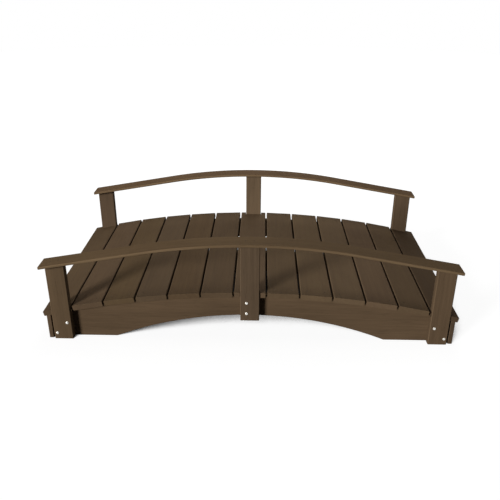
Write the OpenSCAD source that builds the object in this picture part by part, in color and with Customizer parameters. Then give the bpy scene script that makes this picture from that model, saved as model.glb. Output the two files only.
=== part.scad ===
// Garden bridge: crosswise deck boards laid over three arched beams, with flat posts
// bolted outside the beams and a bent flat handrail lying on the posts at each side.
// Lengths are in millimetres. X runs along the bridge, Y across it and Z up.
// The origin is on the ground under the middle of the deck.

/* [Deck] */
// Length of a deck board, across the bridge
deck_width = 1247; // [900:1:1500]
// Width of a full deck board
board_w = 180; // [160:1:210]
// Width of the narrower deck board at each end
outer_board_w = 170; // [140:1:210]
// Thickness of a deck board
board_t = 32; // [24:1:45]
// Gap between neighbouring deck boards at their undersides
board_gap = 9.5; // [3:0.5:16]
// Radius of the arc that the deck boards lie on
deck_radius = 5100; // [4200:10:7000]
// Height of the beams' top under the middle deck board
crown_h = 292; // [260:1:340]
// How far the outer deck boards reach past the end boards, at their undersides
end_overhang = 12; // [2:1:30]

/* [Beams and end boards] */
// Thickness of a beam
beam_t = 38; // [25:1:60]
// Span of the arch cut from the foot of each beam
arch_span = 1590; // [1200:1:1700]
// Rise of that arch at the middle of the bridge
arch_rise = 158; // [90:1:190]
// Thickness of the upright end board that closes each end
end_board_t = 25; // [20:1:40]

/* [Posts] */
// Width of a post, along the bridge
post_w = 110; // [80:1:130]
// Thickness of a post, across the bridge
post_t = 42; // [25:1:50]
// How far a post's outer face stands proud of the deck boards' ends
post_proud = 9; // [0:1:20]
// Gap between an end post and the end board beside it
post_gap = 10; // [2:1:20]
// How far a middle post hangs below the crown of the arch
middle_post_drop = 13; // [0:1:60]
// Room left on each side of a post in the notch that it passes through
notch_clear = 2; // [1:0.5:5]

/* [Handrails] */
// Height of a handrail's top at the middle of the bridge
rail_top = 646; // [560:1:900]
// Radius of a handrail's upper face where it is bent
rail_radius = 3460; // [2800:1:5000]
// How far from the middle a handrail is bent, before it runs on straight
rail_bend = 594; // [450:1:700]
// Width of a handrail
rail_w = 120; // [80:1:140]
// Thickness of a handrail
rail_t = 16; // [12:1:30]
// How far a handrail reaches past the end posts
rail_overhang = 25; // [5:1:60]

/* [Finish] */
// Radius of the eased edges of boards, posts and handrails
edge_r = 5; // [1:0.5:8]

/* [Hidden] */
// Steps to a full turn, on the small eased edges and on the wide arcs.
edge_fn = 48;
arc_fn = 1440;

// The middle board and the boards on each side of it, counted from the middle.
BOARD_COUNT = 13;
middle_index = (BOARD_COUNT + 1) / 2;
last_step = middle_index - 1;

// How far a cut runs past the face that it opens.
cut_past = 20;

// The arc that the boards lie on, and each board's place on it.
deck_centre_z = crown_h - deck_radius;
board_pitch = board_w + board_gap;
outer_board_place = (last_step - 1) * board_pitch + board_w / 2 + board_gap + outer_board_w / 2;

// The underside of the deck's end, and what is set out inwards from it.
outer_angle = board_angle(BOARD_COUNT);
deck_end_x = deck_radius * sin(outer_angle) + outer_board_w / 2 * cos(outer_angle);
end_board_x = deck_end_x - end_overhang;
beam_end_x = end_board_x - end_board_t;
end_post_x = beam_end_x - post_gap - post_w / 2;

// Planes across the bridge: a post stands against the outer face of its beam.
notch_depth = post_t - post_proud;
beam_face_y = deck_width / 2 - notch_depth;
post_y = beam_face_y + post_t / 2;

// The arch under the deck.
arch_radius = (pow(arch_span / 2, 2) + pow(arch_rise, 2)) / (2 * arch_rise);

// The handrails: an arc about the middle, and the straight ends that leave it at the same slope.
rail_centre_z = rail_top - rail_radius;
rail_under_radius = rail_radius - rail_t;
rail_slope = asin(rail_bend / rail_radius);
rail_end_x = end_post_x + post_w / 2 + rail_overhang;
rail_straight = (rail_end_x - rail_bend) / cos(rail_slope);

lumber = "#7d6649";
deck_lumber = "#776146";

SIDES = ["front", "back"];
PLACES = ["left", "middle", "right"];
BOARD_NODES = [for (i = [1 : BOARD_COUNT]) str("deck_board_", i < 10 ? "0" : "", i)];
BEAM_NODES = ["front_beam", "middle_beam", "back_beam"];
END_NODES = ["left_end_board", "right_end_board"];
POST_NODES = [for (side = SIDES) for (place = PLACES) str(side, "_", place, "_post")];
RAIL_NODES = [for (side = SIDES) str(side, "_handrail")];

// Distance of a board's middle from the crown, along the arc.
function board_place(i) =
    let (step = i - middle_index)
    abs(step) < last_step ? step * board_pitch : sign(step) * outer_board_place;

// Slope of a board, and of the flat that it rests on.
function board_angle(i) = board_place(i) / deck_radius * 180 / PI;

// Height of a board's underside, carried on to any place along the bridge.
function seat_z(x, i) = deck_centre_z + (deck_radius - x * sin(board_angle(i))) / cos(board_angle(i));

// The corner where the flats of two neighbouring boards meet.
function seat_corner(i) =
    let (
        middle = (board_angle(i) + board_angle(i + 1)) / 2,
        half = (board_angle(i + 1) - board_angle(i)) / 2,
        reach = deck_radius / cos(half)
    )
    [reach * sin(middle), deck_centre_z + reach * cos(middle)];

// Height of the underside of a handrail's straight end, at a place along the bridge.
function rail_under_z(x) = rail_centre_z + (rail_under_radius - abs(x) * sin(rail_slope)) / cos(rail_slope);

// A rectangle about the origin with eased corners.
module eased_rectangle(w, h) {
    r = min(edge_r, w / 3, h / 3);
    square([w - 2 * r, h], center = true);
    square([w, h - 2 * r], center = true);
    for (x = [-1, 1], y = [-1, 1])
        translate([x * (w / 2 - r), y * (h / 2 - r)])
            circle(r, $fn = edge_fn);
}

// An outline in X and Z, drawn out along Y between two planes.
module across(y_from, y_to) {
    translate([0, y_to, 0])
        rotate([90, 0, 0])
            linear_extrude(y_to - y_from)
                children();
}

// The room that the six posts take through the ends of the deck boards.
module post_notches() {
    notch_w = post_w + 2 * notch_clear;
    for (x = [-end_post_x, 0, end_post_x], side = [-1, 1])
        translate([x, side * (beam_face_y + (notch_depth + cut_past) / 2), crown_h / 2])
            cube([notch_w, notch_depth + cut_past, crown_h + 2 * board_t + 2 * cut_past], center = true);
}

// One deck board, resting on its flats and notched where a post passes.
module deck_board(i) {
    w = abs(i - middle_index) == last_step ? outer_board_w : board_w;
    color(deck_lumber)
        difference() {
            translate([0, 0, deck_centre_z])
                rotate([0, board_angle(i), 0])
                    translate([0, 0, deck_radius + board_t / 2])
                        across(-deck_width / 2, deck_width / 2)
                            eased_rectangle(w, board_t);
            post_notches();
        }
}

// A beam's outline: flat feet, an arch cut between them and a flat seat for each board.
module beam_outline() {
    corners = [for (i = [1 : BOARD_COUNT - 1]) seat_corner(i)];
    inner_corners = [for (corner = corners) if (abs(corner[0]) < beam_end_x) corner];
    left_end = [[-beam_end_x, 0], [-beam_end_x, seat_z(-beam_end_x, 1)]];
    right_end = [[beam_end_x, seat_z(beam_end_x, BOARD_COUNT)], [beam_end_x, 0]];
    difference() {
        polygon(concat(left_end, inner_corners, right_end));
        translate([0, arch_rise - arch_radius])
            circle(arch_radius, $fn = arc_fn);
    }
}

// One beam, with its outer or nearer face at the given plane.
module beam(y_from) {
    color(lumber)
        across(y_from, y_from + beam_t)
            beam_outline();
}

// The upright board across the right end, its top cut to the slope of the deck.
module end_board() {
    color(lumber)
        across(-deck_width / 2, deck_width / 2)
            polygon([
                [beam_end_x, 0],
                [end_board_x, 0],
                [end_board_x, seat_z(end_board_x, BOARD_COUNT)],
                [beam_end_x, seat_z(beam_end_x, BOARD_COUNT)]
            ]);
}

// What lies under the handrails: the bent middle and both straight ends.
module under_rail() {
    arc_end = rail_under_radius * sin(rail_slope);
    intersection() {
        translate([0, rail_centre_z])
            circle(rail_under_radius, $fn = arc_fn);
        translate([-arc_end, 0])
            square([2 * arc_end, rail_top]);
    }
    for (end = [-1, 1])
        polygon([
            [end * arc_end, 0],
            [end * rail_end_x, 0],
            [end * rail_end_x, rail_under_z(rail_end_x)],
            [end * arc_end, rail_under_z(arc_end)]
        ]);
}

// One post, from its foot up to the underside of the handrail.
module post(x, side, foot_z) {
    color(lumber)
        intersection() {
            translate([x, side * post_y, foot_z])
                linear_extrude(rail_top - foot_z)
                    eased_rectangle(post_w, post_t);
            across(-deck_width, deck_width)
                under_rail();
        }
}

// One handrail, a flat board bent over the middle post and straight on to the end posts.
module handrail(side) {
    color(lumber)
        translate([0, side * post_y, rail_centre_z]) {
            rotate([90, 0, 0])
                rotate([0, 0, 90 - rail_slope])
                    rotate_extrude(angle = 2 * rail_slope, $fn = arc_fn)
                        translate([rail_radius - rail_t / 2, 0])
                            eased_rectangle(rail_t, rail_w);
            for (end = [-1, 1])
                rotate([0, end * rail_slope, 0])
                    translate([0, 0, rail_radius - rail_t / 2])
                        rotate([0, end * 90, 0])
                            linear_extrude(rail_straight)
                                eased_rectangle(rail_t, rail_w);
        }
}

for (i = [1 : BOARD_COUNT])
    deck_board(i);

beam(-beam_face_y);  // front_beam
beam(-beam_t / 2);  // middle_beam
beam(beam_face_y - beam_t);  // back_beam

mirror([1, 0, 0]) end_board();  // left_end_board
end_board();  // right_end_board

for (s = [0, 1], p = [0, 1, 2])
    post((p - 1) * end_post_x, 2 * s - 1, p == 1 ? arch_rise - middle_post_drop : 0);

for (s = [0, 1])
    handrail(2 * s - 1);
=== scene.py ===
# %% [markdown]
# # A garden bridge in brown plastic lumber
# This lesson dresses a small arched footbridge: thirteen boards laid over three arched
# beams, six flat posts and two bent handrails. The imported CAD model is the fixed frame.
# Each solid in it gets a finished mesh in the same place, with eased edges, drilled
# screw holes and grain that runs along its own length.

# %% Load the frame
import math
import random

import bmesh
import bpy
import numpy as np
from mathutils import Euler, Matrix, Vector


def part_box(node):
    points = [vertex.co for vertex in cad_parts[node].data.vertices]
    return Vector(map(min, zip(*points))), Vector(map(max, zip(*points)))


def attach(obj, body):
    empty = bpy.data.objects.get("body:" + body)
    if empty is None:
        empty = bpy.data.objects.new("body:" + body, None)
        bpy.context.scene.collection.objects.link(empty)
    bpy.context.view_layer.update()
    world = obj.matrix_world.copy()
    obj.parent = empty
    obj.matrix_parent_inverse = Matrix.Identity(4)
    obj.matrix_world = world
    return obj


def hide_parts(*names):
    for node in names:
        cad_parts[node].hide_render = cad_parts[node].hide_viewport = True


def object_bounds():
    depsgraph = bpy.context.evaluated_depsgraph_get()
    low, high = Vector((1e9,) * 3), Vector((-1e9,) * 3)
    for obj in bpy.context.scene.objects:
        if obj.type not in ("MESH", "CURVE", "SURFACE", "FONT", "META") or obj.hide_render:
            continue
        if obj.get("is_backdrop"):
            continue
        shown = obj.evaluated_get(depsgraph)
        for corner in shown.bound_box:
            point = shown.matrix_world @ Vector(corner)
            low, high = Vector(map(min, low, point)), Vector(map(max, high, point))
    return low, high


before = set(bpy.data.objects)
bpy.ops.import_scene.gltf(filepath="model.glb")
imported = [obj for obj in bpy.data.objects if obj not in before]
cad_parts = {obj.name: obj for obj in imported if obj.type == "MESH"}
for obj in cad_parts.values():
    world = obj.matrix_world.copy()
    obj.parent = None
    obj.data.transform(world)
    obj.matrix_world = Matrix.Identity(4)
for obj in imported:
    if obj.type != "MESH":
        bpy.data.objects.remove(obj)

cad_low, cad_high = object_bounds()
frame_size = [round(v, 3) for v in cad_high - cad_low]
print("the frame has", len(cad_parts), "pieces,", frame_size, "m")

# %% [markdown]
# ## Measuring the frame
# Nothing here is typed in twice. A box is enough for the upright posts, but a deck board
# slopes, so its width and thickness have to be read along its own slope. The widest
# upward triangle of a board lies in its top face, and its normal gives that slope.

# %% Read the points of a solid and the slope of its top
MM = 0.001
FLUSH = 0.5 * MM
UPWARD = 0.5


def rows_of(mesh, key):
    """The places of a mesh's points (co) or their normals (normal), one row each."""
    values = np.empty(len(mesh.vertices) * 3, np.float32)
    mesh.vertices.foreach_get(key, values)
    return values.reshape(-1, 3).astype(float)


def node_points(name):
    """The corner points of one CAD solid, one row each."""
    return rows_of(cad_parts[name].data, "co")


def top_slope(name):
    """How far the widest upward face of a solid leans towards +X, in radians."""
    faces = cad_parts[name].data.polygons
    widest = max(faces, key=lambda face: face.area if face.normal.z > UPWARD else 0)
    return math.atan2(widest.normal.x, widest.normal.z)


board_names = sorted(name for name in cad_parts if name.startswith("deck_board"))
last_slope = math.degrees(top_slope(board_names[-1]))
print(len(board_names), "boards, the last one slopes", round(last_slope, 2), "degrees")

# %% Measure every deck board along its own slope


def measure_board(name):
    """Slope, axes, sizes, middle and any post notch of one board."""
    slope = top_slope(name)
    sine, cosine = math.sin(slope), math.cos(slope)
    points = node_points(name)
    run = points[:, 0] * cosine - points[:, 2] * sine
    rise = points[:, 0] * sine + points[:, 2] * cosine
    mid_run = (run.min() + run.max()) / 2
    mid_rise = (rise.min() + rise.max()) / 2
    middle_x = mid_run * cosine + mid_rise * sine
    middle_z = mid_rise * cosine - mid_run * sine
    half_length = points[:, 1].max()
    inner = points[np.abs(points[:, 1]) < half_length - FLUSH]
    notch = None
    if len(inner):
        notch = (inner[:, 0].min(), inner[:, 0].max(), np.abs(inner[:, 1]).min())
    return {
        "name": name,
        "slope": slope,
        "across": Vector((cosine, 0, -sine)),
        "up": Vector((sine, 0, cosine)),
        "width": np.ptp(run),
        "thickness": np.ptp(rise),
        "length": 2 * half_length,
        "middle": Vector((middle_x, 0, middle_z)),
        "notch": notch,
    }


boards = [measure_board(name) for name in board_names]
for board in boards:
    section = [round(board[side] / MM, 1) for side in ("width", "thickness")]
    print(board["name"], section, "mm", "with a notch" if board["notch"] else "")

# %% [markdown]
# A handrail is bent to an arc about the middle and runs on straight to its ends. Its widest
# upward triangle lies in a straight end, which gives the slope there. The arc has to touch
# both the highest point and the line of that end, and only one radius does.

# %% Measure the bend of the handrails
rail_low, rail_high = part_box("front_handrail")
rail_width = rail_high.y - rail_low.y
rail_slope = abs(top_slope("front_handrail"))
rail_sin = math.sin(rail_slope)
rail_cos = math.cos(rail_slope)
rail_points = node_points("front_handrail")
end_line = (rail_points[:, 0] * rail_sin + rail_points[:, 2] * rail_cos).max()
rail_radius = (end_line - rail_high.z * rail_cos) / (1 - rail_cos)
rail_centre_z = rail_high.z - rail_radius
past_bend = rail_points[:, 0] * rail_cos - (rail_points[:, 2] - rail_centre_z) * rail_sin
rail_straight = past_bend.max()
end_points = rail_points[past_bend > rail_straight - FLUSH]
rail_thickness = np.ptp(end_points[:, 0] * rail_sin + end_points[:, 2] * rail_cos)
print("rail radius", round(rail_radius, 3), "m, straight for", round(rail_straight, 3), "m")

# %% [markdown]
# The arch is a part of a circle too. Its feet are on the ground and its crown is the point
# nearest the middle of the bridge, and those two settle the circle.

# %% Measure the arch under the beams
UNDER_SEATS = 0.7

beam_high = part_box("front_beam")[1]
beam_points = node_points("front_beam")
on_ground = np.abs(beam_points[:, 2]) < FLUSH
arch_foot = np.abs(beam_points[on_ground, 0]).min()
inside_feet = np.abs(beam_points[:, 0]) < arch_foot - FLUSH
arch_points = beam_points[inside_feet & (beam_points[:, 2] < beam_high.z * UNDER_SEATS)]
arch_top = arch_points[np.abs(arch_points[:, 0]).argmin()]
arch_centre_z = (arch_top[0] ** 2 + arch_top[2] ** 2 - arch_foot ** 2) / (2 * arch_top[2])
arch_radius = math.hypot(arch_foot, arch_centre_z)
print("arch radius", round(arch_radius, 3), "rise", round(arch_radius + arch_centre_z, 4))

# %% [markdown]
# ## The camera
# The camera stands where the picture of the bridge was taken: in front of the middle,
# about two metres up, looking down at the deck. The lens is given for a square picture.

# %% Set the camera
CAMERA_PLACE = (0.058, -3.614, 2.004)
CAMERA_TURN_DEGREES = (64.785, -0.285, 1.26)
LENS_MM = 43.13
SENSOR_MM = 36

camera_data = bpy.data.cameras.new("camera")
camera_data.lens = LENS_MM
camera_data.sensor_width = SENSOR_MM
camera = bpy.data.objects.new("camera", camera_data)
camera.location = CAMERA_PLACE
camera.rotation_euler = Euler([math.radians(a) for a in CAMERA_TURN_DEGREES])
bpy.context.scene.collection.objects.link(camera)
bpy.context.scene.camera = camera
bpy.context.scene.view_settings.view_transform = "Standard"
print("camera at", CAMERA_PLACE, "with a", LENS_MM, "mm lens")

# %% [markdown]
# ## Helpers for node trees
# Shaders and Geometry Nodes are both trees of nodes, so one small function can add a
# node to either. It takes the node's own settings and what goes into its sockets:
# another node's output is linked, and anything else is set as the socket's value. Three
# short helpers for sums, ranges and mixed colours keep the trees below easy to read.

# %% Add nodes to a tree


def put(tree, kind, sockets=None, **settings):
    """A new node with its settings, its sockets linked or set. Sockets go by name or number."""
    node = tree.nodes.new(kind)
    for name, value in settings.items():
        setattr(node, name, value)
    for name, value in (sockets or {}).items():
        if isinstance(value, bpy.types.NodeSocket):
            tree.links.new(value, node.inputs[name])
        else:
            node.inputs[name].default_value = value
    return node


def calculate(tree, operation, *values):
    """The outcome of one step of arithmetic."""
    return put(tree, "ShaderNodeMath", dict(enumerate(values)), operation=operation).outputs[0]


def spread_range(tree, value, low, high, new_low, new_high):
    """The range low to high carried over to a new one, and held there."""
    return put(tree, "ShaderNodeMapRange", {
        "Value": value, "From Min": low, "From Max": high, "To Min": new_low, "To Max": new_high,
    }).outputs[0]


def blend(tree, share, first, second):
    """Two colours mixed: a share of 0 gives the first, and 1 the second."""
    return put(tree, "ShaderNodeMix", {0: share, 6: first, 7: second}, data_type="RGBA").outputs[2]


def colour(code):
    """A web colour as the linear colour that a shader takes."""
    shares = [int(code[i:i + 2], 16) / 255 for i in (1, 3, 5)]
    linear = [s / 12.92 if s <= 0.04045 else ((s + 0.055) / 1.055) ** 2.4 for s in shares]
    return (*linear, 1.0)


print("half grey on the web is", round(colour("#808080")[0], 3), "in linear light")

# %% [markdown]
# ## The lumber's finish
# The boards are extruded from recycled plastic, brown all the way through, with a faint
# grain pressed into the skin. Four attributes that each piece will carry drive it.
# `lumber` holds metres across, along and through the board, so the grain follows a
# sloping board and a bent rail alike. `tone` holds each piece's shade and small shifts of
# its hue and strength of colour, drawn at random, since no two batches of plastic match; a
# few listed pieces are set paler or darker, and on two of them the darkening is painted
# shade. The third attribute is 1 on the eased edges, where handling leaves the plastic
# paler, and on the rails also on the thin sides, where the pale colour is partly a painted
# highlight. The fourth is 1 on the sides that face a neighbour, where the gaps between the
# boards get painted shade.
#
# The grain itself is four noises drawn out along the board: broad streaks, fine fibres,
# soft clouds and short dark dashes. Each has a weight in the colour.

# %% The grain of the lumber


def stretched_noise(tree, lumber, scale, detail, roughness=0.55, distortion=0.0):
    """Noise drawn out along the board: scale is in spots to a metre across, along and through."""
    spread = put(tree, "ShaderNodeVectorMath", {0: lumber, 1: scale}, operation="MULTIPLY")
    noise = put(tree, "ShaderNodeTexNoise", {
        "Vector": spread.outputs[0],
        "Scale": 1.0,
        "Detail": detail,
        "Roughness": roughness,
        "Distortion": distortion,
    })
    return noise.outputs["Fac"]


def weigh(tree, value, weight, added):
    """value times weight, plus another value or number."""
    return calculate(tree, "MULTIPLY_ADD", value, weight, added)


STREAKS = (55, 1.5, 55)
FIBRES = (430, 8, 430)
CLOUDS = (6, 2.2, 6)
DASHES = (210, 13, 210)
STREAK_WEIGHT = 0.9
FIBRE_WEIGHT = 0.5
CLOUD_WEIGHT = 0.8
DASH_WEIGHT = -0.25
GRAIN_RANGE = (0.6, 1.6)
NOISE_RANGE = (0.3, 0.7)
streak_size = [round(1000 / spots) for spots in STREAKS[:2]]
print("streaks are about", streak_size[0], "mm wide and", streak_size[1], "mm long")

# %% Build the lumber's shader
# The dark brown of the painted shade in the gaps between boards.
GAP_SHADE_COLOUR = "#2a1d12"
DASH_RANGE = (0.6, 0.72)
NEUTRAL_HUE = 0.5
HUE_SHIFT = 0.003
STRENGTH_SHIFT = 0.04
WEAR_AND_HIGHLIGHT_STREAKS = (0.35, 0.7)
WEAR_AND_HIGHLIGHT_SHARES = (0.15, 0.75)
GAP_SHADE_START = 0.75
GAP_SHADE_SHARE = 0.9
SATIN = (0.72, 0.84)
EDGE_POLISH = -0.06
FIBRE_RELIEF = 0.6
DASH_RELIEF = -0.6
RELIEF_STRENGTH = 0.35
RELIEF_DEPTH = 0.5 * MM
FAINT_SHEEN = 0.03


def lumber_finish(name, dark, light, worn_and_highlit):
    """Satin lumber between two browns, paler on edges (wear and painted highlight), with painted
    gap shade.
    """
    finish = bpy.data.materials.new(name + "_finish")
    finish.use_nodes = True
    tree = finish.node_tree
    shader = tree.nodes["Principled BSDF"]
    lumber = put(tree, "ShaderNodeAttribute", attribute_name="lumber").outputs["Vector"]
    tone = put(tree, "ShaderNodeAttribute", attribute_name="tone").outputs["Vector"]
    edge = put(tree, "ShaderNodeAttribute", attribute_name="edge_wear").outputs["Fac"]
    grime = put(tree, "ShaderNodeAttribute", attribute_name="grime").outputs["Fac"]
    streaks = stretched_noise(tree, lumber, STREAKS, detail=5.0, roughness=0.6, distortion=0.3)
    fibres = stretched_noise(tree, lumber, FIBRES, detail=3.0)
    clouds = stretched_noise(tree, lumber, CLOUDS, detail=2.0)
    dashes = stretched_noise(tree, lumber, DASHES, detail=2.0)
    dashes = spread_range(tree, dashes, *DASH_RANGE, 0.0, 1.0)

    grain = calculate(tree, "MULTIPLY", streaks, STREAK_WEIGHT)
    grain = weigh(tree, fibres, FIBRE_WEIGHT, grain)
    grain = weigh(tree, clouds, CLOUD_WEIGHT, grain)
    grain = weigh(tree, dashes, DASH_WEIGHT, grain)
    grain = spread_range(tree, grain, *GRAIN_RANGE, 0.0, 1.0)
    shifts = put(tree, "ShaderNodeSeparateXYZ", {0: tone}).outputs
    toned = put(tree, "ShaderNodeHueSaturation", {
        "Hue": weigh(tree, shifts[1], HUE_SHIFT, NEUTRAL_HUE),
        "Saturation": weigh(tree, shifts[2], STRENGTH_SHIFT, 1.0),
        "Value": shifts[0],
        "Color": blend(tree, grain, colour(dark), colour(light)),
    })
    # Pale edge colour: wear on every piece, and on the rails partly a painted highlight.
    wear_and_highlight = spread_range(tree, streaks, *WEAR_AND_HIGHLIGHT_STREAKS, *WEAR_AND_HIGHLIGHT_SHARES)
    skin = blend(tree, calculate(tree, "MULTIPLY", edge, wear_and_highlight), toned.outputs[0], colour(worn_and_highlit))
    # Painted shade: sides that face a neighbouring board darken, for the gaps between boards.
    gap_darkening = spread_range(tree, grime, GAP_SHADE_START, 1.0, 0.0, GAP_SHADE_SHARE)
    tree.links.new(blend(tree, gap_darkening, skin, colour(GAP_SHADE_COLOUR)), shader.inputs["Base Color"])

    satin = spread_range(tree, streaks, *NOISE_RANGE, *SATIN)
    tree.links.new(weigh(tree, edge, EDGE_POLISH, satin), shader.inputs["Roughness"])
    relief = weigh(tree, dashes, DASH_RELIEF, weigh(tree, fibres, FIBRE_RELIEF, streaks))
    bump = put(tree, "ShaderNodeBump", {
        "Height": relief, "Strength": RELIEF_STRENGTH, "Distance": RELIEF_DEPTH,
    })
    tree.links.new(bump.outputs[0], shader.inputs["Normal"])
    shader.inputs["Specular IOR Level"].default_value = FAINT_SHEEN
    return finish


# Each finish has a dark, a light and a worn brown. The rails' worn brown is the palest, as it also
# stands for a painted highlight on their edges.
BROWNS = {
    "deck_lumber": ("#574635", "#6b5842", "#7c6850"),
    "frame_lumber": ("#4c3e2f", "#6b5844", "#7c6850"),
    "post_lumber": ("#4c3e2f", "#6b5844", "#7c6850"),
    "rail_lumber": ("#52412f", "#6f5a43", "#856f54"),
}
finishes = {slot: lumber_finish(slot, *browns) for slot, browns in BROWNS.items()}
print("made", sorted(finishes))

# %% [markdown]
# ## The fasteners' finish
# The bolts are bare stainless steel. The deck and rail screws are coated brown, to be
# lost among the boards. Both carry small scuffs, so the roughness varies and the surface
# has a slight bump.

# %% Build the steel's shader
SCUFFS_TO_A_METRE = 900.0
SCUFF_DULLNESS = 0.2
SCUFF_STRENGTH = 0.15
SCUFF_DEPTH = 0.1 * MM


def steel_finish(name, shade, metal, smoothest, shine):
    """Steel with small scuffs, bare or under a coat of paint."""
    finish = bpy.data.materials.new(name + "_finish")
    finish.use_nodes = True
    tree = finish.node_tree
    shader = tree.nodes["Principled BSDF"]
    place = put(tree, "ShaderNodeTexCoord").outputs["Object"]
    scuffs = put(tree, "ShaderNodeTexNoise", {
        "Vector": place, "Scale": SCUFFS_TO_A_METRE, "Detail": 4.0,
    }).outputs["Fac"]
    dullness = spread_range(tree, scuffs, *NOISE_RANGE, smoothest, smoothest + SCUFF_DULLNESS)
    tree.links.new(dullness, shader.inputs["Roughness"])
    bump = put(tree, "ShaderNodeBump", {
        "Height": scuffs, "Strength": SCUFF_STRENGTH, "Distance": SCUFF_DEPTH,
    })
    tree.links.new(bump.outputs[0], shader.inputs["Normal"])
    shader.inputs["Base Color"].default_value = colour(shade)
    shader.inputs["Metallic"].default_value = metal
    shader.inputs["Specular IOR Level"].default_value = shine
    return finish


bolt_finish = steel_finish("bolt_steel", "#d8d6d0", metal=1.0, smoothest=0.22, shine=0.5)
screw_finish = steel_finish("screw_coating", "#4c3f30", metal=0.0, smoothest=0.6, shine=0.12)
print("made", bolt_finish.name, "and", screw_finish.name)

# %% [markdown]
# ## Node trees that grow lumber
# A board could be a cube with bevels. Here it is made as the real one is: an eased
# section drawn out along a line, as from an extruder. A handrail starts as the same kind of
# line, and the tree bends its middle to an arc before drawing the section along it. A tree
# of Geometry Nodes holds the rule, and its named inputs hold the sizes, so one tree serves
# every board.

# %% Start a tree and grow a piece from it
FLOAT = "NodeSocketFloat"
VECTOR = "NodeSocketVector"
SWITCH = "NodeSocketBool"
WHOLE = "NodeSocketInt"
THING = "NodeSocketObject"
SHAPE = "NodeSocketGeometry"
FINISH = "NodeSocketMaterial"


def start_tree(name, inputs):
    """A Geometry Nodes tree with these named inputs, and its input sockets by name."""
    tree = bpy.data.node_groups.new(name, "GeometryNodeTree")
    tree.interface.new_socket("Geometry", in_out="OUTPUT", socket_type=SHAPE)
    for label, kind in inputs.items():
        tree.interface.new_socket(label, in_out="INPUT", socket_type=kind)
    return tree, tree.nodes.new("NodeGroupInput").outputs


def end_tree(tree, shape, finish):
    """Closes a tree: real geometry, with its finish."""
    real = put(tree, "GeometryNodeRealizeInstances", {"Geometry": shape})
    dressed = put(tree, "GeometryNodeSetMaterial", {
        "Geometry": real.outputs[0], "Material": finish,
    })
    put(tree, "NodeGroupOutput", {0: dressed.outputs[0]})


def use_tree(piece, tree, values):
    """Hangs a tree on a piece as a modifier and sets its inputs by their identifiers."""
    modifier = piece.modifiers.new(tree.name, "NODES")
    modifier.node_group = tree
    for item in tree.interface.items_tree:
        if item.in_out == "INPUT" and item.name in values:
            modifier[item.identifier] = values[item.name]


def new_piece(name, mesh=None):
    """An object at the origin, ready for its mesh."""
    piece = bpy.data.objects.new(name, mesh or bpy.data.meshes.new(name))
    bpy.context.scene.collection.objects.link(piece)
    return piece


def store(mesh, name, values):
    """Keeps a number, or three, under a name at every point of a mesh."""
    values = np.asarray(values, np.float32)
    kind, key = ("FLOAT", "value") if values.ndim == 1 else ("FLOAT_VECTOR", "vector")
    mesh.attributes.new(name, kind, "POINT").data.foreach_set(key, values.ravel())


def settle(piece):
    """Turns what the modifiers make into the piece's own plain mesh."""
    depsgraph = bpy.context.evaluated_depsgraph_get()
    shown = piece.evaluated_get(depsgraph)
    made = bpy.data.meshes.new_from_object(
        shown, preserve_all_data_layers=True, depsgraph=depsgraph,
    )
    piece.modifiers.clear()
    spent = piece.data
    piece.data = made
    bpy.data.meshes.remove(spent)
    made.name = piece.name


print("node tree helpers are ready")

# %% A straight length of lumber
EASED_STEPS = 5


def eased_section(tree, width, height, radius):
    """The eased rectangle that an extruder would give."""
    outline = put(tree, "GeometryNodeCurvePrimitiveQuadrilateral", {
        "Width": width, "Height": height,
    })
    rounded = put(tree, "GeometryNodeFilletCurve", {
        "Curve": outline.outputs[0], "Radius": radius, "Count": EASED_STEPS,
    }, mode="POLY")
    return rounded.outputs[0]


straight_tree, sizes = start_tree("straight_lumber", {
    "Width": FLOAT, "Height": FLOAT, "Edge": FLOAT,
    "Start": VECTOR, "End": VECTOR, "Slope": VECTOR, "Place": VECTOR,
    "Notched": SWITCH, "Notch Size": VECTOR, "Front Notch": VECTOR, "Back Notch": VECTOR,
    "Finish": FINISH,
})
line = put(straight_tree, "GeometryNodeCurvePrimitiveLine", {
    "Start": sizes["Start"], "End": sizes["End"],
})
section = eased_section(straight_tree, sizes["Width"], sizes["Height"], sizes["Edge"])
drawn = put(straight_tree, "GeometryNodeCurveToMesh", {
    "Curve": line.outputs[0], "Profile Curve": section, "Fill Caps": True,
})
laid = put(straight_tree, "GeometryNodeTransform", {
    "Geometry": drawn.outputs[0], "Translation": sizes["Place"], "Rotation": sizes["Slope"],
})
block = put(straight_tree, "GeometryNodeMeshCube", {"Size": sizes["Notch Size"]})
cuts = put(straight_tree, "GeometryNodeJoinGeometry")
for notch_place in ("Back Notch", "Front Notch"):
    cut = put(straight_tree, "GeometryNodeTransform", {
        "Geometry": block.outputs[0], "Translation": sizes[notch_place],
    })
    straight_tree.links.new(cut.outputs[0], cuts.inputs[0])
notched = put(straight_tree, "GeometryNodeMeshBoolean", {
    "Mesh 1": laid.outputs[0], "Mesh 2": cuts.outputs[0],
}, operation="DIFFERENCE", solver="EXACT")
chosen = put(straight_tree, "GeometryNodeSwitch", {
    "Switch": sizes["Notched"], "False": laid.outputs[0], "True": notched.outputs[0],
})
end_tree(straight_tree, chosen.outputs[0], sizes["Finish"])
print("straight_lumber has", len(straight_tree.nodes), "nodes")

# %% A length of lumber that is bent in the middle
BENT_STEPS = 96

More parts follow.
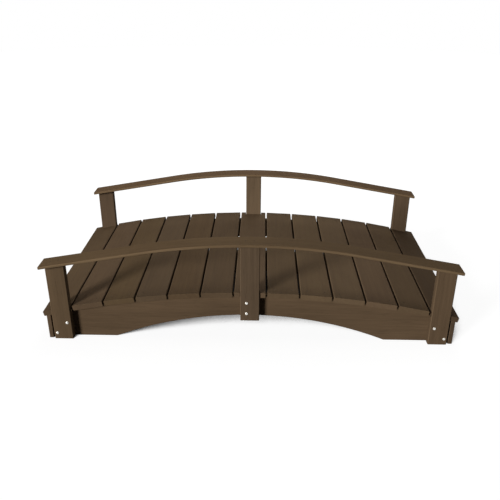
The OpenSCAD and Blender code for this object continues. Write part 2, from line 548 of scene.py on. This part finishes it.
bent_tree, sizes = start_tree("bent_lumber", {
    "Width": FLOAT, "Height": FLOAT, "Edge": FLOAT,
    "Radius": FLOAT, "Slope": FLOAT, "Straight": FLOAT,
    "Place": VECTOR, "Finish": FINISH,
})
radius, slope = sizes["Radius"], sizes["Slope"]
half_run = calculate(bent_tree, "MULTIPLY_ADD", radius, slope, sizes["Straight"])
right_end = put(bent_tree, "ShaderNodeCombineXYZ", {"X": half_run})
left_end = put(bent_tree, "ShaderNodeCombineXYZ", {
    "X": calculate(bent_tree, "MULTIPLY", half_run, -1.0),
})
line = put(bent_tree, "GeometryNodeCurvePrimitiveLine", {
    "Start": right_end.outputs[0], "End": left_end.outputs[0],
})
stepped = put(bent_tree, "GeometryNodeResampleCurve", {
    "Curve": line.outputs[0], "Count": BENT_STEPS,
})

place = put(bent_tree, "GeometryNodeInputPosition")
run = put(bent_tree, "ShaderNodeSeparateXYZ", {0: place.outputs[0]}).outputs[0]
turn = put(bent_tree, "ShaderNodeClamp", {
    "Value": calculate(bent_tree, "DIVIDE", run, radius),
    "Min": calculate(bent_tree, "MULTIPLY", slope, -1.0), "Max": slope,
}).outputs[0]
past = calculate(bent_tree, "SUBTRACT", run, calculate(bent_tree, "MULTIPLY", turn, radius))
sine = calculate(bent_tree, "SINE", turn)
cosine = calculate(bent_tree, "COSINE", turn)
arc_x = calculate(bent_tree, "MULTIPLY", radius, sine)
arc_y = calculate(bent_tree, "MULTIPLY", radius, cosine)
bent_place = put(bent_tree, "ShaderNodeCombineXYZ", {
    "X": calculate(bent_tree, "MULTIPLY_ADD", past, cosine, arc_x),
    "Y": calculate(bent_tree, "SUBTRACT", arc_y, calculate(bent_tree, "MULTIPLY", past, sine)),
})
bent = put(bent_tree, "GeometryNodeSetPosition", {
    "Geometry": stepped.outputs[0], "Position": bent_place.outputs[0],
})
section = eased_section(bent_tree, sizes["Height"], sizes["Width"], sizes["Edge"])
drawn = put(bent_tree, "GeometryNodeCurveToMesh", {
    "Curve": bent.outputs[0], "Profile Curve": section, "Fill Caps": True,
})
raised = put(bent_tree, "GeometryNodeTransform", {
    "Geometry": drawn.outputs[0], "Translation": sizes["Place"],
    "Rotation": Euler((math.pi / 2, 0, 0)),
})
end_tree(bent_tree, raised.outputs[0], sizes["Finish"])
print("bent_lumber has", len(bent_tree.nodes), "nodes")

# %% [markdown]
# ## Screw holes
# A deck screw is driven until its head sits just under the surface, and it leaves a round
# hole with a flat floor. The drill tree cuts one at each point of a small mesh of points.
# Each point carries an `aim`, the way that its screw looks out of the wood.

# %% A tree that drills
HOLE_RADIUS = 4.7 * MM
HOLE_DEPTH = 1.3 * MM
HOLE_SIDES = 20
DRILL_LENGTH = 6 * MM


def aimed(tree, points, tool, spin=None):
    """The tool at every point, turned so that its Z looks along the point's aim."""
    aim = put(tree, "GeometryNodeInputNamedAttribute", {"Name": "aim"}, data_type="FLOAT_VECTOR")
    turn = put(tree, "FunctionNodeAlignRotationToVector", {
        "Vector": aim.outputs[0],
    }, axis="Z").outputs[0]
    if spin is not None:
        turned = {"Rotation": turn, "Rotate By": spin}
        turn = put(tree, "FunctionNodeRotateRotation", turned, rotation_space="LOCAL").outputs[0]
    placed = put(tree, "GeometryNodeInstanceOnPoints", {
        "Points": points, "Instance": tool, "Rotation": turn,
    })
    return put(tree, "GeometryNodeRealizeInstances", {"Geometry": placed.outputs[0]}).outputs[0]


drill_tree, sizes = start_tree("screw_holes", {
    "Geometry": SHAPE, "Points": THING, "Radius": FLOAT, "Depth": FLOAT, "Finish": FINISH,
})
hole_points = put(drill_tree, "GeometryNodeObjectInfo", {"Object": sizes["Points"]})
drill = put(drill_tree, "GeometryNodeMeshCylinder", {
    "Vertices": HOLE_SIDES, "Radius": sizes["Radius"], "Depth": DRILL_LENGTH,
})
lift = put(drill_tree, "ShaderNodeCombineXYZ", {
    "Z": calculate(drill_tree, "SUBTRACT", DRILL_LENGTH / 2, sizes["Depth"]),
})
raised = put(drill_tree, "GeometryNodeTransform", {
    "Geometry": drill.outputs[0], "Translation": lift.outputs[0],
})
drills = aimed(drill_tree, hole_points.outputs["Geometry"], raised.outputs[0])
drilled = put(drill_tree, "GeometryNodeMeshBoolean", {
    "Mesh 1": sizes["Geometry"], "Mesh 2": drills,
}, operation="DIFFERENCE", solver="EXACT")
end_tree(drill_tree, drilled.outputs[0], sizes["Finish"])


def point_mesh(name, places, aims):
    """Loose points that each carry an aim, for the trees to work on."""
    mesh = bpy.data.meshes.new(name)
    mesh.from_pydata([tuple(place) for place in places], [], [])
    store(mesh, "aim", aims)
    return new_piece(name, mesh)


def drop(piece):
    """Removes a helper object and its mesh."""
    mesh = piece.data
    bpy.data.objects.remove(piece)
    bpy.data.meshes.remove(mesh)


def drill_screws(piece, places, aims, finish):
    """Sinks a hole at every place of a screw."""
    holes = point_mesh("holes", places, aims)
    use_tree(piece, drill_tree, {
        "Points": holes, "Radius": HOLE_RADIUS, "Depth": HOLE_DEPTH, "Finish": finish,
    })
    settle(piece)
    drop(holes)


print("screw_holes has", len(drill_tree.nodes), "nodes")

# %% [markdown]
# ## Sawn edges, shading and grain
# The long edges come eased from the extruder, but the saw leaves crisp ends that are only
# just broken, so a Bevel modifier takes a hair off every square corner. Wide flats next
# to narrow rounds shade wrongly with plain smooth shading, and Weighted Normal mends it.
# Last, each piece gets its four attributes. The grain's start is drawn at random with a
# fixed seed, so that no two boards look the same and every run looks alike. A short list
# sets a few pieces paler or darker than the rest; on the last deck board and the right end
# board the darkening is painted shade, as both face away from the low key light.

# %% Finish the edges and shading of a piece
EDGE_RADIUS = 5 * MM
SAWN_EDGE = 1.2 * MM
SAWN_STEPS = 2
SQUARE_CORNER = math.radians(55)


def break_edges(piece, width):
    """Takes the sharpness off square corners."""
    bevel = piece.modifiers.new("sawn_edges", "BEVEL")
    bevel.width = width
    bevel.segments = SAWN_STEPS
    bevel.limit_method = "ANGLE"
    bevel.angle_limit = SQUARE_CORNER


def even_shading(piece):
    """Smooth rounds and true flats."""
    piece.data.shade_smooth()
    piece.data.set_sharp_from_angle(angle=SQUARE_CORNER)
    normals = piece.modifiers.new("true_flats", "WEIGHTED_NORMAL")
    normals.mode = "FACE_AREA"
    normals.keep_sharp = True
    settle(piece)


print("square corners lose", SAWN_EDGE / MM, "mm")

# %% Give a piece its grain
GRAIN_SEED = 11
GRAIN_FIELD = 50
NORMAL_STEP = 0.1 * MM
CORNER_FACING = math.sqrt(0.5)
SHADE_SPREAD = 0.02
# Listed shades of single pieces. Those of the last deck board and the right end board are painted
# shade.
PIECE_TONES_AND_PAINTED_SHADE = {
    "front_handrail": 0.97, "back_handrail": 1.02,
    "front_left_post": 1.08, "back_middle_post": 1.3,
    "front_beam": 1.04, "right_end_board": 0.72,
    "deck_board_01": 0.86, "deck_board_13": 0.66,
    **dict.fromkeys(board_names[1:3], 0.93),
    **dict.fromkeys(board_names[3:6], 0.88),
    **dict.fromkeys(board_names[8:11], 1.13),
}
grain_draw = random.Random(GRAIN_SEED)


def give_grain(piece, to_lumber, drilled=False, worn_and_highlit_sides=False, shut_sides=()):
    """Stores a point's place in its board, its wear and painted highlight, painted shade and tone.
    """
    points = rows_of(piece.data, "co")
    lumber = to_lumber(points)
    # How each normal lies in the board: its shares across, along and through.
    raised = to_lumber(points + NORMAL_STEP * rows_of(piece.data, "normal"))
    facing = (raised - lumber) / NORMAL_STEP
    # 0 on a flat and 1 halfway round an eased edge.
    wear_and_highlight = (1 - np.abs(facing).max(axis=1)) / (1 - CORNER_FACING)
    # The rails' thin sides take the pale colour too, partly wear and partly a painted highlight.
    if worn_and_highlit_sides:
        wear_and_highlight = np.maximum(wear_and_highlight, np.abs(facing[:, 0]))
    if drilled:
        # The rims of the screw holes get none of the pale edge colour.
        inset = np.minimum(lumber - lumber.min(axis=0), lumber.max(axis=0) - lumber)
        wear_and_highlight[inset[:, :2].min(axis=1) > EDGE_RADIUS] = 0
    # Painted shade on each side that faces a neighbouring board.
    grime = np.zeros(len(points))
    for side in shut_sides:
        grime = np.maximum(grime, side * facing[:, 0])
    start = [grain_draw.uniform(0, GRAIN_FIELD) for _ in range(3)]
    tone = [grain_draw.uniform(-1, 1) for _ in range(3)]
    shade = PIECE_TONES_AND_PAINTED_SHADE.get(piece.name.removesuffix("_finished"), 1.0)
    tone[0] = shade * (1 + SHADE_SPREAD * tone[0])
    store(piece.data, "lumber", lumber + start)
    store(piece.data, "edge_wear", np.clip(wear_and_highlight, 0, 1))
    store(piece.data, "grime", np.clip(grime, 0, 1))
    store(piece.data, "tone", np.tile(tone, (len(points), 1)))


def along_axis(across, along, through):
    """For straight lumber: which way is across, along and through it."""
    axes = np.array([across, along, through], float)
    return lambda points: points @ axes.T


def hand_over(piece, slot, *nodes):
    """Ties a finished piece to the frame."""
    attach(piece, "root")
    if nodes:
        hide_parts(*nodes)


def tell_fit(piece, node):
    """Prints how far a finished piece is off the solid that it stands for."""
    off = np.ptp(rows_of(piece.data, "co"), axis=0) - np.ptp(node_points(node), axis=0)
    print(piece.name, len(piece.data.polygons), "faces, off by", np.round(off / MM, 2), "mm")


print("the grain is drawn from seed", GRAIN_SEED)

# %% [markdown]
# ## The deck boards
# Thirteen boards lie side by side over the beams, each tilted to follow the arc. The
# first, middle and last are notched at both ends to let the posts through. Every board is
# screwed down twice on each of the three beams. One board could be copied and turned, but
# the outer two are narrower and three have notches, so the tree draws each to its own size.

# %% Lay the deck boards
BEAMS = ("front_beam", "middle_beam", "back_beam")
SCREW_INSET = 38 * MM
CUT_HEIGHT = 0.4

beam_lines = [(low.y + high.y) / 2 for low, high in (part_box(name) for name in BEAMS)]


def deck_screw_points(board):
    """Where a board's screws enter its top, and which way they look."""
    top = board["middle"] + board["up"] * board["thickness"] / 2
    step = board["width"] / 2 - SCREW_INSET
    places = []
    for y in beam_lines:
        for side in (-1, 1):
            places.append(top + board["across"] * side * step + Vector((0, y, 0)))
    return places, [board["up"]] * len(places)


def notch_values(board):
    """The two blocks that are cut from a notched board's ends."""
    x_low, x_high, y_inner = board["notch"]
    depth = board["length"] - y_inner
    middle = Vector(((x_low + x_high) / 2, y_inner + depth / 2, board["middle"].z))
    return {
        "Notched": True,
        "Notch Size": (x_high - x_low, depth, CUT_HEIGHT),
        "Back Notch": middle,
        "Front Notch": middle * Vector((1, -1, 1)),
    }


def lay_board(board):
    """One deck board: drawn, notched, broken at its ends and drilled."""
    piece = new_piece(board["name"] + "_finished")
    use_tree(piece, straight_tree, {
        "Width": board["width"], "Height": board["thickness"], "Edge": EDGE_RADIUS,
        "Start": (0, -board["length"] / 2, 0), "End": (0, board["length"] / 2, 0),
        "Slope": (0, board["slope"], 0), "Place": board["middle"],
        "Finish": finishes["deck_lumber"],
        **(notch_values(board) if board["notch"] else {}),
    })
    break_edges(piece, SAWN_EDGE)
    settle(piece)
    drill_screws(piece, *deck_screw_points(board), finishes["deck_lumber"])
    even_shading(piece)
    shut_sides = [side for side, last in ((-1, boards[0]), (1, boards[-1])) if board is not last]
    to_lumber = along_axis(board["across"], (0, 1, 0), board["up"])
    give_grain(piece, to_lumber, drilled=True, shut_sides=shut_sides)
    hand_over(piece, "deck_lumber", board["name"])
    return piece


for board in boards:
    tell_fit(lay_board(board), board["name"])

# %% [markdown]
# ## The beams
# A beam is one wide plank on edge. Its foot is cut to a shallow arch, and its top is
# planed to a flat under every board. The flats follow from the boards themselves: each
# corner is where the undersides of two neighbours would meet. A boolean could cut the
# arch, but an outline worked out point by point and drawn out once gives a cleaner mesh.

# %% Saw the beams
ARCH_STEPS = 48
BEAM_EDGE = 2.5 * MM


def seat_height(board, x):
    """Height of a board's underside, carried on to any x."""
    under = board["middle"] - board["up"] * board["thickness"] / 2
    return under.z - (x - under.x) * math.tan(board["slope"])


def seat_corner(board, neighbour):
    """Where the flats of two neighbouring boards meet."""
    step = seat_height(neighbour, 0) - seat_height(board, 0)
    x = step / (math.tan(neighbour["slope"]) - math.tan(board["slope"]))
    return (x, seat_height(board, x))


def beam_outline():
    """The beam's side, counter-clockwise as seen from the front."""
    end = beam_high.x
    reach = math.asin(arch_foot / arch_radius)
    turns = [reach * (2 * i / ARCH_STEPS - 1) for i in range(ARCH_STEPS + 1)]
    arch = [(arch_radius * math.sin(a), arch_centre_z + arch_radius * math.cos(a)) for a in turns]
    seats = [seat_corner(a, b) for a, b in zip(boards, boards[1:])]
    seats = [corner for corner in seats if abs(corner[0]) < end]
    right_top = (end, seat_height(boards[-1], end))
    left_top = (-end, seat_height(boards[0], -end))
    return [(-end, 0), *arch, (end, 0), right_top, *reversed(seats), left_top]


def saw_plank(name, outline, y_low, y_high):
    """An outline in X and Z drawn out between two planes across the bridge."""
    shape = bmesh.new()
    front = shape.faces.new([shape.verts.new((x, y_low, z)) for x, z in outline])
    drawn = bmesh.ops.extrude_face_region(shape, geom=[front])
    moved = [part for part in drawn["geom"] if isinstance(part, bmesh.types.BMVert)]
    bmesh.ops.translate(shape, verts=moved, vec=(0, y_high - y_low, 0))
    bmesh.ops.recalc_face_normals(shape, faces=shape.faces)
    mesh = bpy.data.meshes.new(name)
    shape.to_mesh(mesh)
    shape.free()
    mesh.materials.append(finishes["frame_lumber"])
    piece = new_piece(name, mesh)
    break_edges(piece, BEAM_EDGE)
    settle(piece)
    even_shading(piece)
    return piece


for name in BEAMS:
    low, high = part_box(name)
    piece = saw_plank(name + "_finished", beam_outline(), low.y, high.y)
    give_grain(piece, along_axis((0, 0, 1), (1, 0, 0), (0, 1, 0)))
    hand_over(piece, "frame_lumber", name)
    tell_fit(piece, name)

# %% [markdown]
# ## The end boards
# An upright board closes each end, from the ground to the underside of the last deck
# board. Its top is sawn to the same slope, so the outline needs only four corners.

# %% Saw the end boards


def end_board_outline(low, high, board):
    """Four corners, with the top on the slope of the deck board above."""
    top = [(x, seat_height(board, x)) for x in (high.x, low.x)]
    return [(low.x, low.z), (high.x, low.z)] + top


for name, board in (("left_end_board", boards[0]), ("right_end_board", boards[-1])):
    low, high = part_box(name)
    piece = saw_plank(name + "_finished", end_board_outline(low, high, board), low.y, high.y)
    give_grain(piece, along_axis((0, 0, 1), (0, 1, 0), (1, 0, 0)))
    hand_over(piece, "frame_lumber", name)
    tell_fit(piece, name)

# %% [markdown]
# ## The posts
# A post is a straight length stood on end. Its top is cut to the bend of the handrail,
# so the points of the upper end are lowered onto the rail's underside. That keeps the
# broken edge at the top, which a boolean cut would lose.

# %% Stand the posts
SIDES = ("front", "back")
PLACES = ("left", "middle", "right")

post_names = [side + "_" + place + "_post" for side in SIDES for place in PLACES]


def on_rail(x, depth=0.0):
    """The point of a handrail at x, on its top or at a depth in it, and the way its top looks."""
    radius = rail_radius - depth
    turn = max(-rail_slope, min(rail_slope, math.asin(x / radius)))
    aim = Vector((math.sin(turn), 0, math.cos(turn)))
    along = Vector((math.cos(turn), 0, -math.sin(turn)))
    past = (x - radius * aim.x) / along.x
    return Vector((0, 0, rail_centre_z)) + aim * radius + along * past, aim


def stand_post(name):
    """One post between its foot and the rail."""
    low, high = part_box(name)
    middle = (low + high) / 2
    piece = new_piece(name + "_finished")
    use_tree(piece, straight_tree, {
        "Width": high.x - low.x, "Height": high.y - low.y, "Edge": EDGE_RADIUS,
        "Start": (0, 0, low.z), "End": (0, 0, high.z), "Place": (middle.x, middle.y, 0),
        "Finish": finishes["post_lumber"],
    })
    break_edges(piece, SAWN_EDGE)
    settle(piece)
    for point in piece.data.vertices:
        if point.co.z > middle.z:
            point.co.z += on_rail(point.co.x, rail_thickness)[0].z - high.z
    even_shading(piece)
    give_grain(piece, along_axis((1, 0, 0), (0, 0, 1), (0, 1, 0)))
    hand_over(piece, "post_lumber", name)
    return piece


for name in post_names:
    tell_fit(stand_post(name), name)

# %% [markdown]
# ## The handrails
# Each handrail is a thin flat board laid over its three posts and screwed down twice on
# each. The bent tree draws the eased section. For the grain, a point's place along the rail
# is its angle on the arc times the radius, plus what it lies past the end of the arc.

# %% Bend the handrails
RAIL_SCREW_STEP = 24 * MM


def along_rail(points):
    """Across, along and through a bent rail."""
    x = points[:, 0]
    z = points[:, 2] - rail_centre_z
    turn = np.clip(np.arctan2(x, z), -rail_slope, rail_slope)
    along = turn * rail_radius + x * np.cos(turn) - z * np.sin(turn)
    return np.stack([points[:, 1], along, x * np.sin(turn) + z * np.cos(turn)], axis=1)


def rail_screw_points(side):
    """Two screws over each post of one side."""
    places = []
    aims = []
    for place in PLACES:
        low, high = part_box(side + "_" + place + "_post")
        for step in (-RAIL_SCREW_STEP, RAIL_SCREW_STEP):
            point, aim = on_rail((low.x + high.x) / 2 + step)
            places.append(point + Vector((0, (low.y + high.y) / 2, 0)))
            aims.append(aim)
    return places, aims


def bend_rail(side):
    """One handrail, drilled for its screws."""
    name = side + "_handrail"
    low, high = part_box(name)
    piece = new_piece(name + "_finished")
    use_tree(piece, bent_tree, {
        "Width": rail_width, "Height": rail_thickness, "Edge": EDGE_RADIUS,
        "Radius": rail_radius - rail_thickness / 2, "Slope": rail_slope, "Straight": rail_straight,
        "Place": (0, (low.y + high.y) / 2, rail_centre_z), "Finish": finishes["rail_lumber"],
    })
    break_edges(piece, SAWN_EDGE)
    settle(piece)
    drill_screws(piece, *rail_screw_points(side), finishes["rail_lumber"])
    even_shading(piece)
    # The thin sides are painted pale, as wear and as a painted highlight.
    give_grain(piece, along_rail, drilled=True, worn_and_highlit_sides=True)
    hand_over(piece, "rail_lumber", name)
    return piece


for side in SIDES:
    tell_fit(bend_rail(side), side + "_handrail")

# %% [markdown]
# ## Bolts and screws
# Each post is held to its beam by two hexagon bolts with washers. The deck and rail
# screws have flat heads with a star-shaped socket. A plain cylinder has no chamfer and no
# socket, so a head is turned from rings of points. A tree then sets one in every place,
# each with its own random twist.

# %% Turn a head from rings
HEAD_STEPS = 24


def turned_head(name, rings, top_z, bottom_z):
    """A closed head. Its rings go from bottom to top, each a radius and a height by angle."""
    shape = bmesh.new()
    turns = [2 * math.pi * i / HEAD_STEPS for i in range(HEAD_STEPS)]
    rows = []
    for radius, height in rings:
        ring = [(radius(a) * math.cos(a), radius(a) * math.sin(a), height(a)) for a in turns]
        rows.append([shape.verts.new(point) for point in ring])
    for lower, upper in zip(rows, rows[1:]):
        for i in range(HEAD_STEPS):
            j = (i + 1) % HEAD_STEPS
            shape.faces.new((lower[i], lower[j], upper[j], upper[i]))
    top = shape.verts.new((0, 0, top_z))
    bottom = shape.verts.new((0, 0, bottom_z))
    for i in range(HEAD_STEPS):
        j = (i + 1) % HEAD_STEPS
        shape.faces.new((rows[-1][i], rows[-1][j], top))
        shape.faces.new((rows[0][j], rows[0][i], bottom))
    mesh = bpy.data.meshes.new(name)
    shape.to_mesh(mesh)
    shape.free()
    return new_piece(name, mesh)


def even(value):
    """The same value at every angle."""
    return lambda angle: value


print("heads are turned in", HEAD_STEPS, "steps")

# %% The bolt's head and washer, and the screw's head
WASHER_RADIUS = 8.2 * MM
WASHER_THICKNESS = 1.4 * MM
WASHER_RIM = 0.7 * WASHER_THICKNESS
WASHER_CHAMFER = 0.4 * MM
HEX_RADIUS = 5.75 * MM
HEX_TOP_RADIUS = 0.94 * HEX_RADIUS
HEX_HEIGHT = 5.5 * MM
HEX_TURN = math.pi / 3
CHAMFER_SLOPE = math.tan(math.radians(28))
SCREW_RADIUS = 4.2 * MM
SCREW_FOOT_RADIUS = 0.75 * SCREW_RADIUS
SCREW_TOP_RADIUS = 0.95 * SCREW_RADIUS
SCREW_RIM = 0.3 * MM
HEAD_SUNK = 0.4 * MM
SOCKET_RADIUS = 1.7 * MM
SOCKET_FLOOR = -0.9 * HOLE_DEPTH
SOCKET_TAPER = 0.9
SOCKET_LOBES = 6
LOBE_DEPTH = 0.16


def hex_radius(angle):
    """Distance from the axis to the side of a hexagon."""
    return HEX_RADIUS / math.cos(angle % HEX_TURN - HEX_TURN / 2)


def hex_shoulder(angle):
    """The chamfer takes more height off the hexagon's corners."""
    return HEX_HEIGHT - (hex_radius(angle) - HEX_TOP_RADIUS) * CHAMFER_SLOPE


def star_radius(scale):
    """The outline of a star socket."""
    return lambda angle: scale * SOCKET_RADIUS * (1 + LOBE_DEPTH * math.cos(SOCKET_LOBES * angle))


bolt_head = turned_head("bolt_head", [
    (even(WASHER_RADIUS), even(0)),
    (even(WASHER_RADIUS), even(WASHER_RIM)),
    (even(WASHER_RADIUS - WASHER_CHAMFER), even(WASHER_THICKNESS)),
    (hex_radius, even(WASHER_THICKNESS)),
    (hex_radius, hex_shoulder),
    (even(HEX_TOP_RADIUS), even(HEX_HEIGHT)),
], HEX_HEIGHT, 0)
screw_head = turned_head("screw_head", [
    (even(SCREW_FOOT_RADIUS), even(-HOLE_DEPTH)),
    (even(SCREW_RADIUS), even(-HEAD_SUNK - SCREW_RIM)),
    (even(SCREW_TOP_RADIUS), even(-HEAD_SUNK)),
    (star_radius(1.0), even(-HEAD_SUNK)),
    (star_radius(SOCKET_TAPER), even(SOCKET_FLOOR)),
], SOCKET_FLOOR, -HOLE_DEPTH)
print("bolt head", len(bolt_head.data.polygons), "faces, screw head", len(screw_head.data.polygons))

# %% Where the bolts go
END_BOLTS = ((29 * MM, 110 * MM), (-36 * MM, 40 * MM))
MIDDLE_BOLTS = ((-19 * MM, 261 * MM), (-19 * MM, 192 * MM))


def bolt_points(name):
    """A post's two bolts on its outer face: pairs of a step towards the middle and a height."""
    low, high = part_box(name)
    outward = 1 if low.y > 0 else -1
    face_y = high.y if outward > 0 else low.y
    middle_x = (low.x + high.x) / 2
    steps = MIDDLE_BOLTS if "middle" in name else END_BOLTS
    inward = -1 if "right" in name else 1
    places = [Vector((middle_x + inward * step, face_y, height)) for step, height in steps]
    return places, [Vector((0, outward, 0))] * len(places)


def gather(groups):
    """Several groups of places and aims as one."""
    places = []
    aims = []
    for group_places, group_aims in groups:
        places += group_places
        aims += group_aims
    return places, aims


bolt_places, bolt_aims = gather(bolt_points(name) for name in post_names)
screw_places, screw_aims = gather(
    [deck_screw_points(board) for board in boards] + [rail_screw_points(side) for side in SIDES]
)
print(len(bolt_places), "bolts and", len(screw_places), "screws")

# %% Set the heads with a tree
HEAD_CORNER = math.radians(25)
BOLT_SEED = 3
SCREW_SEED = 5

heads_tree, sizes = start_tree("fastener_heads", {
    "Points": THING, "Head": THING, "Seed": WHOLE, "Finish": FINISH,
})
places_in = put(heads_tree, "GeometryNodeObjectInfo", {"Object": sizes["Points"]})
head_in = put(heads_tree, "GeometryNodeObjectInfo", {"Object": sizes["Head"]})
twist = put(heads_tree, "FunctionNodeRandomValue", {
    2: 0.0, 3: 2 * math.pi, "Seed": sizes["Seed"],
}, data_type="FLOAT")
spin = put(heads_tree, "FunctionNodeAxisAngleToRotation", {
    "Axis": (0, 0, 1), "Angle": twist.outputs[1],
})
heads = aimed(
    heads_tree, places_in.outputs["Geometry"], head_in.outputs["Geometry"], spin.outputs[0],
)
end_tree(heads_tree, heads, sizes["Finish"])

for name, head, places, aims, seed, finish in (
    ("post_bolts", bolt_head, bolt_places, bolt_aims, BOLT_SEED, bolt_finish),
    ("deck_and_rail_screws", screw_head, screw_places, screw_aims, SCREW_SEED, screw_finish),
):
    points = point_mesh("places", places, aims)
    piece = new_piece(name)
    use_tree(piece, heads_tree, {"Points": points, "Head": head, "Seed": seed, "Finish": finish})
    settle(piece)
    drop(points)
    drop(head)
    piece.data.shade_smooth()
    piece.data.set_sharp_from_angle(angle=HEAD_CORNER)
    hand_over(piece, "fastener_steel")
    print(piece.name, len(piece.data.polygons), "faces")

# %% [markdown]
# ## The floor and the white surround
# The bridge stands on a plain pale floor. To the camera, and in reflections, the floor
# glows just enough to reach white, and it still darkens where the bridge keeps the light
# off. Every other ray meets a dull grey floor without the glow, so the glow lights nothing
# and little light bounces up under the beams.
#
# A glow alone would shine on under the deck, where no lamp reaches. An Ambient Occlusion
# node that looks towards the key light tells how open each spot of the floor is to it,
# and the glow fades with that, so the bridge keeps its soft shadow from every side.

# %% Lay the floor
FLOOR_REACH = 14.0
FLOOR_SIDES = 96
FLOOR_ROUGHNESS = 0.9
FLOOR_SEEN = 0.25
FLOOR_BOUNCE = 0.12
FLOOR_GLOW = 0.88
FULL_GLOW = 1.0
GLOW_RISE = (2.0, 4.0)
KEY_PLACE = Vector((-9.5, -9.5, 3.9))
LAMP_TARGET = Vector((0, 0, 0.3))
SHADOW_REACH = 3.0
SHADOW_RANGE = (0.52, 0.63)
SHADOW_SAMPLES = 32


def seen_rays(tree):
    """1 for rays that the camera, a reflection or glass sends, else 0."""
    path = put(tree, "ShaderNodeLightPath").outputs
    seen = calculate(tree, "MAXIMUM", path["Is Camera Ray"], path["Is Glossy Ray"])
    return calculate(tree, "MAXIMUM", seen, path["Is Transmission Ray"])


def floor_finish():
    """A pale floor that shows as white with a soft shadow."""
    finish = bpy.data.materials.new("studio_floor")
    finish.use_nodes = True
    tree = finish.node_tree
    shader = tree.nodes["Principled BSDF"]
    shader.inputs["Roughness"].default_value = FLOOR_ROUGHNESS
    shader.inputs["Specular IOR Level"].default_value = 0.0
    shader.inputs["Emission Color"].default_value = (1, 1, 1, 1)
    seen = seen_rays(tree)
    grey = spread_range(tree, seen, 0.0, 1.0, FLOOR_BOUNCE, FLOOR_SEEN)
    tree.links.new(grey, shader.inputs["Base Color"])

    place = put(tree, "ShaderNodeTexCoord").outputs["Object"]
    away = put(tree, "ShaderNodeVectorMath", {0: place}, operation="LENGTH").outputs["Value"]
    glow = spread_range(tree, away, *GLOW_RISE, FLOOR_GLOW, FULL_GLOW)
    to_key = (KEY_PLACE - LAMP_TARGET).normalized()
    openness = put(tree, "ShaderNodeAmbientOcclusion", {
        "Distance": SHADOW_REACH,
        "Normal": put(tree, "ShaderNodeCombineXYZ", dict(enumerate(to_key))).outputs[0],
    }, samples=SHADOW_SAMPLES)
    open_floor = spread_range(tree, openness.outputs["AO"], *SHADOW_RANGE, 0.0, 1.0)
    shown = calculate(tree, "MULTIPLY", calculate(tree, "MULTIPLY", glow, open_floor), seen)
    tree.links.new(shown, shader.inputs["Emission Strength"])
    return finish


floor_shape = bmesh.new()
bmesh.ops.create_circle(floor_shape, cap_ends=True, segments=FLOOR_SIDES, radius=FLOOR_REACH)
floor_mesh = bpy.data.meshes.new("floor")
floor_shape.to_mesh(floor_mesh)
floor_shape.free()
floor_mesh.materials.append(floor_finish())
floor = new_piece("floor", floor_mesh)
floor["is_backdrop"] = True
print("the floor reaches", FLOOR_REACH, "m")

# %% Set the world around it
WORLD_LEVEL = 0.02

world = bpy.data.worlds.new("studio")
bpy.context.scene.world = world
world.use_nodes = True
world_tree = world.node_tree
level = spread_range(world_tree, seen_rays(world_tree), 0.0, 1.0, WORLD_LEVEL, 1.0)
world_shader = world_tree.nodes["Background"]
world_shader.inputs["Color"].default_value = (1, 1, 1, 1)
world_tree.links.new(level, world_shader.inputs["Strength"])
print("the surround is white to the camera and", WORLD_LEVEL, "to the bridge")

# %% [markdown]
# ## The lamps
# Three lamps light the bridge. The main one is wide and far off, like a low sun at the
# front left. It lights every post alike, and each throws a clear dark band on the beam to
# its right. It only grazes the deck, so a soft square light overhead lifts the deck and
# the rail tops. A smaller one behind the bridge fills the far side.

# %% Hang the lamps
KEY_STRENGTH = 3.55
KEY_WIDTH_DEGREES = 16
OVERHEAD_PLACE = Vector((0, 0, 8.0))
OVERHEAD_WATTS = 125
OVERHEAD_SIZE = 4.0
BACK_PLACE = Vector((0.6, 3.2, 3.0))
BACK_WATTS = 48
BACK_SIZE = 2.5


def hang_lamp(name, kind, place, strength):
    """A lamp that looks from its place at the middle of the bridge."""
    data = bpy.data.lights.new(name, kind)
    data.energy = strength
    lamp = bpy.data.objects.new(name, data)
    lamp.location = place
    lamp.rotation_euler = (LAMP_TARGET - place).to_track_quat("-Z", "Y").to_euler()
    bpy.context.scene.collection.objects.link(lamp)
    return data


low_key = hang_lamp("low_key", "SUN", KEY_PLACE, KEY_STRENGTH)
low_key.angle = math.radians(KEY_WIDTH_DEGREES)
overhead = hang_lamp("overhead", "AREA", OVERHEAD_PLACE, OVERHEAD_WATTS)
overhead.size = OVERHEAD_SIZE
back_fill = hang_lamp("back_fill", "AREA", BACK_PLACE, BACK_WATTS)
back_fill.size = BACK_SIZE
print("three lamps hang:", ", ".join(lamp.name for lamp in (low_key, overhead, back_fill)))

# %% [markdown]
# ## Checking the size
# The dressed bridge has to fill the same box as the frame, so the script prints how far the two
# boxes lie apart.

# %% Print how far the two boxes lie apart
dressed_low, dressed_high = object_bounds()
box_off = [*(dressed_low - cad_low), *(dressed_high - cad_high)]
print("box off by", [round(v / MM, 2) for v in box_off], "mm")
